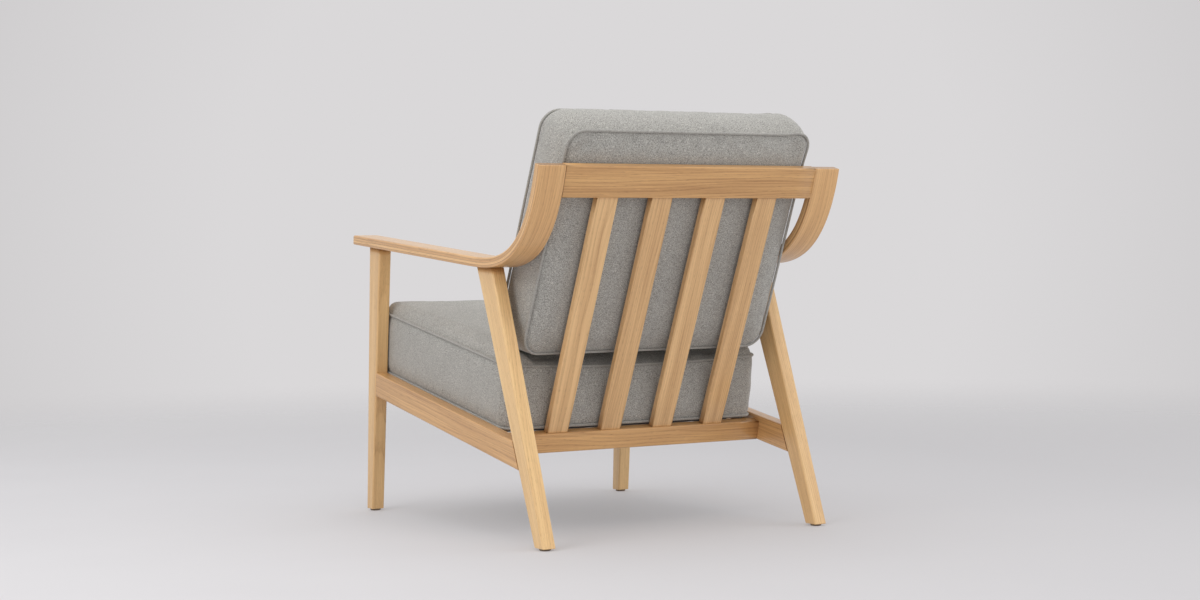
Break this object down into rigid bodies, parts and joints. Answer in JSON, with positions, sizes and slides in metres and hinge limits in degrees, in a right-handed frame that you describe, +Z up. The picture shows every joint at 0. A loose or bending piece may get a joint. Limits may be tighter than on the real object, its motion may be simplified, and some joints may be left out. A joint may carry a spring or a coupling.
{
  "type": "armchair",
  "caption": "Oak lounge armchair with bent-laminated arms that sweep up into the top rail, a slatted raked back, tapered splayed legs and loose box cushions for seat and back.",
  "frame": {"origin": "on the floor under the middle of the chair's outline", "axes": "+Z up; the chair faces -Y; +X is the sitter's left"},
  "size_m": [0.68, 0.8452, 0.8274],
  "materials": {
    "cover_fabric": "heathered grey wool cloth",
    "foam": "cut polyurethane foam",
    "piping": "cord covered in the cushion cloth",
    "zip_tape": "woven tape with a nylon coil",
    "zip_metal": "plated zip slider",
    "slat_oak": "satin lacquer on solid oak",
    "screw_steel": "zinc-plated steel",
    "block_beech": "bare planed beech",
    "glide_plastic": "moulded plastic",
    "leg_oak": "satin lacquer on solid oak",
    "rail_oak": "satin lacquer on solid oak",
    "arm_oak": "satin lacquer on bent-laminated oak, plies showing on the edges",
    "webbing": "woven elastic webbing",
    "clip_steel": "zinc-plated pressed steel"
  },
  "bodies": {
    "frame": {"back_slat_1": "slat_oak", "back_slat_2": "slat_oak", "back_slat_3": "slat_oak", "back_slat_4": "slat_oak", "front_left_block_screw_1": "screw_steel", "front_left_block_screw_2": "screw_steel", "front_left_corner_block": "block_beech", "front_left_glide": "glide_plastic", "front_left_leg": "leg_oak", "front_right_block_screw_1": "screw_steel", "front_right_block_screw_2": "screw_steel", "front_right_corner_block": "block_beech", "front_right_glide": "glide_plastic", "front_right_leg": "leg_oak", "front_seat_rail": "rail_oak", "left_arm": "arm_oak", "left_side_rail": "rail_oak", "rear_left_block_screw_1": "screw_steel", "rear_left_block_screw_2": "screw_steel", "rear_left_corner_block": "block_beech", "rear_left_glide": "glide_plastic", "rear_left_leg": "leg_oak", "rear_right_block_screw_1": "screw_steel", "rear_right_block_screw_2": "screw_steel", "rear_right_corner_block": "block_beech", "rear_right_glide": "glide_plastic", "rear_right_leg": "leg_oak", "rear_seat_rail": "rail_oak", "right_arm": "arm_oak", "right_side_rail": "rail_oak", "seat_strap_1": "webbing", "seat_strap_2": "webbing", "seat_strap_3": "webbing", "seat_strap_4": "webbing", "strap_clip_left_1": "clip_steel", "strap_clip_left_2": "clip_steel", "strap_clip_left_3": "clip_steel", "strap_clip_left_4": "clip_steel", "strap_clip_right_1": "clip_steel", "strap_clip_right_2": "clip_steel", "strap_clip_right_3": "clip_steel", "strap_clip_right_4": "clip_steel", "top_rail": "rail_oak"},
    "seat_cushion": {"seat_cushion_bottom_piping": "piping", "seat_cushion_cover": "cover_fabric", "seat_cushion_foam": "foam", "seat_cushion_top_piping": "piping", "seat_cushion_zip": "zip_tape", "seat_cushion_zip_puller": "zip_metal"},
    "back_cushion": {"back_cushion_cover": "cover_fabric", "back_cushion_foam": "foam", "back_cushion_front_piping": "piping", "back_cushion_rear_piping": "piping", "back_cushion_zip": "zip_tape", "back_cushion_zip_puller": "zip_metal"}
  },
  "joints": [
    {"name": "seat_cushion_lift", "type": "slide", "parent": "frame", "child": "seat_cushion", "axis": [0, -0.9866, 0.1633], "range_m": [0, 0.65]},
    {"name": "back_cushion_lift", "type": "slide", "parent": "frame", "child": "back_cushion", "axis": [0, 0.4115, 0.9114], "range_m": [0, 0.6]}
  ]
}
